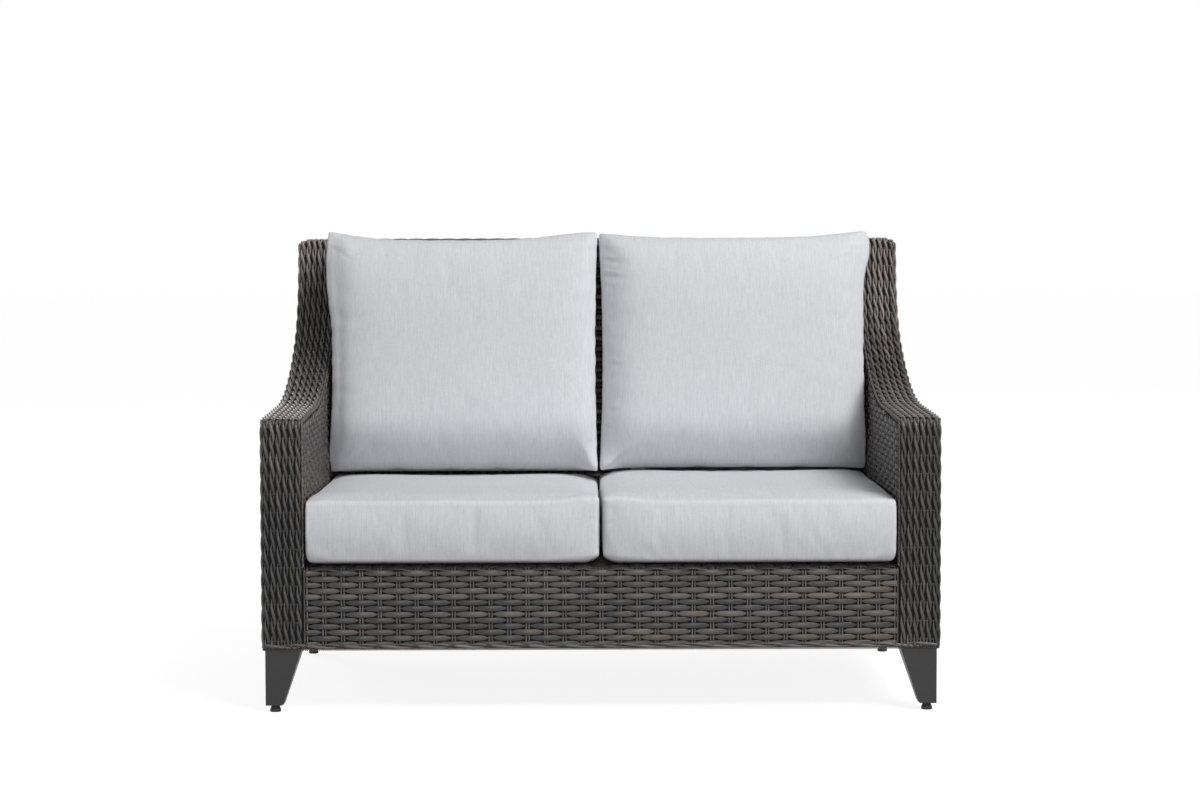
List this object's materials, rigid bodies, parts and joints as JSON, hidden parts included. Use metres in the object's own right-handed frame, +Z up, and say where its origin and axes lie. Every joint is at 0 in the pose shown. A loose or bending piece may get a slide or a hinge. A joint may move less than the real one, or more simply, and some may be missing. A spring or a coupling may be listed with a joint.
{
  "type": "patio loveseat",
  "caption": "Woven resin patio loveseat with sweeping arms, tapered metal legs and loose seat and back cushions.",
  "frame": {"origin": "on the floor, under the middle of the width and of the depth", "axes": "+X across the seat to the right as seen from the front, -Y to the front, +Z up"},
  "size_m": [1.4, 0.875, 0.995],
  "materials": {
    "weave": "satin",
    "cushion_fabric": "matte",
    "cushion_filling": "matte",
    "zip_tape": "matte",
    "zip_metal": "satin",
    "fastener_steel": "satin",
    "glide_plastic": "satin",
    "leg_metal": "satin",
    "frame_metal": "matte"
  },
  "bodies": {
    "root": {"apron_uprights": "frame_metal", "arm_inner_weave_left": "weave", "arm_inner_weave_right": "weave", "arm_outer_weave_left": "weave", "arm_outer_weave_right": "weave", "arm_top_weave_left": "weave", "arm_top_weave_right": "weave", "arm_tubes_left": "frame_metal", "arm_tubes_right": "frame_metal", "back_inner_uprights": "frame_metal", "back_inner_weave": "weave", "back_outer_uprights": "frame_metal", "back_outer_weave": "weave", "back_top_rails": "frame_metal", "back_top_weave": "weave", "bottom_border": "weave", "bottom_cross_rails": "frame_metal", "frame_spacers": "frame_metal", "front_apron": "weave", "front_post_weave_left": "weave", "front_post_weave_right": "weave", "front_posts": "frame_metal", "leg_bolts": "fastener_steel", "leg_front_left": "leg_metal", "leg_front_right": "leg_metal", "leg_inserts": "fastener_steel", "leg_plates": "frame_metal", "leg_rear_left": "leg_metal", "leg_rear_right": "leg_metal", "lower_stretchers": "frame_metal", "rear_posts": "frame_metal", "seat_cross_bars": "frame_metal", "seat_cross_rails": "frame_metal", "seat_deck": "weave", "side_rails": "frame_metal"},
    "seat_cushion_left": {"seat_cushion_cover_left": "cushion_fabric", "seat_cushion_core_left": "cushion_filling", "seat_cushion_zip_left": "zip_tape"},
    "seat_zip_slider_left": {"seat_zip_slider_left": "zip_metal"},
    "back_cushion_left": {"back_cushion_cover_left": "cushion_fabric", "back_cushion_core_left": "cushion_filling", "back_cushion_zip_left": "zip_tape"},
    "back_zip_slider_left": {"back_zip_slider_left": "zip_metal"},
    "seat_cushion_right": {"seat_cushion_cover_right": "cushion_fabric", "seat_cushion_core_right": "cushion_filling", "seat_cushion_zip_right": "zip_tape"},
    "seat_zip_slider_right": {"seat_zip_slider_right": "zip_metal"},
    "back_cushion_right": {"back_cushion_cover_right": "cushion_fabric", "back_cushion_core_right": "cushion_filling", "back_cushion_zip_right": "zip_tape"},
    "back_zip_slider_right": {"back_zip_slider_right": "zip_metal"},
    "glide_front_left": {"glide_pad_front_left": "glide_plastic", "glide_stud_front_left": "fastener_steel"},
    "glide_front_right": {"glide_pad_front_right": "glide_plastic", "glide_stud_front_right": "fastener_steel"},
    "glide_rear_left": {"glide_pad_rear_left": "glide_plastic", "glide_stud_rear_left": "fastener_steel"},
    "glide_rear_right": {"glide_pad_rear_right": "glide_plastic", "glide_stud_rear_right": "fastener_steel"}
  },
  "joints": [
    {"name": "seat_cushion_left_lift", "type": "slide", "parent": "root", "child": "seat_cushion_left", "axis": [0, 0, 1], "range_m": [0, 0.69]},
    {"name": "back_cushion_left_lift", "type": "slide", "parent": "seat_cushion_left", "child": "back_cushion_left", "axis": [0, 0, 1], "range_m": [0, 0.56]},
    {"name": "seat_zip_left_slide", "type": "slide", "parent": "seat_cushion_left", "child": "seat_zip_slider_left", "axis": [-1, 0, 0], "range_m": [0, 0.425]},
    {"name": "back_zip_left_slide", "type": "slide", "parent": "back_cushion_left", "child": "back_zip_slider_left", "axis": [-1, 0, 0], "range_m": [0, 0.425]},
    {"name": "seat_cushion_right_lift", "type": "slide", "parent": "root", "child": "seat_cushion_right", "axis": [0, 0, 1], "range_m": [0, 0.69]},
    {"name": "back_cushion_right_lift", "type": "slide", "parent": "seat_cushion_right", "child": "back_cushion_right", "axis": [0, 0, 1], "range_m": [0, 0.56]},
    {"name": "seat_zip_right_slide", "type": "slide", "parent": "seat_cushion_right", "child": "seat_zip_slider_right", "axis": [1, 0, 0], "range_m": [0, 0.425]},
    {"name": "back_zip_right_slide", "type": "slide", "parent": "back_cushion_right", "child": "back_zip_slider_right", "axis": [1, 0, 0], "range_m": [0, 0.425]},
    {"name": "glide_front_left_level", "type": "slide", "parent": "root", "child": "glide_front_left", "axis": [0, 0, -1], "range_m": [0, 0.01]},
    {"name": "glide_front_right_level", "type": "slide", "parent": "root", "child": "glide_front_right", "axis": [0, 0, -1], "range_m": [0, 0.01]},
    {"name": "glide_rear_left_level", "type": "slide", "parent": "root", "child": "glide_rear_left", "axis": [0, 0, -1], "range_m": [0, 0.01]},
    {"name": "glide_rear_right_level", "type": "slide", "parent": "root", "child": "glide_rear_right", "axis": [0, 0, -1], "range_m": [0, 0.01]}
  ]
}
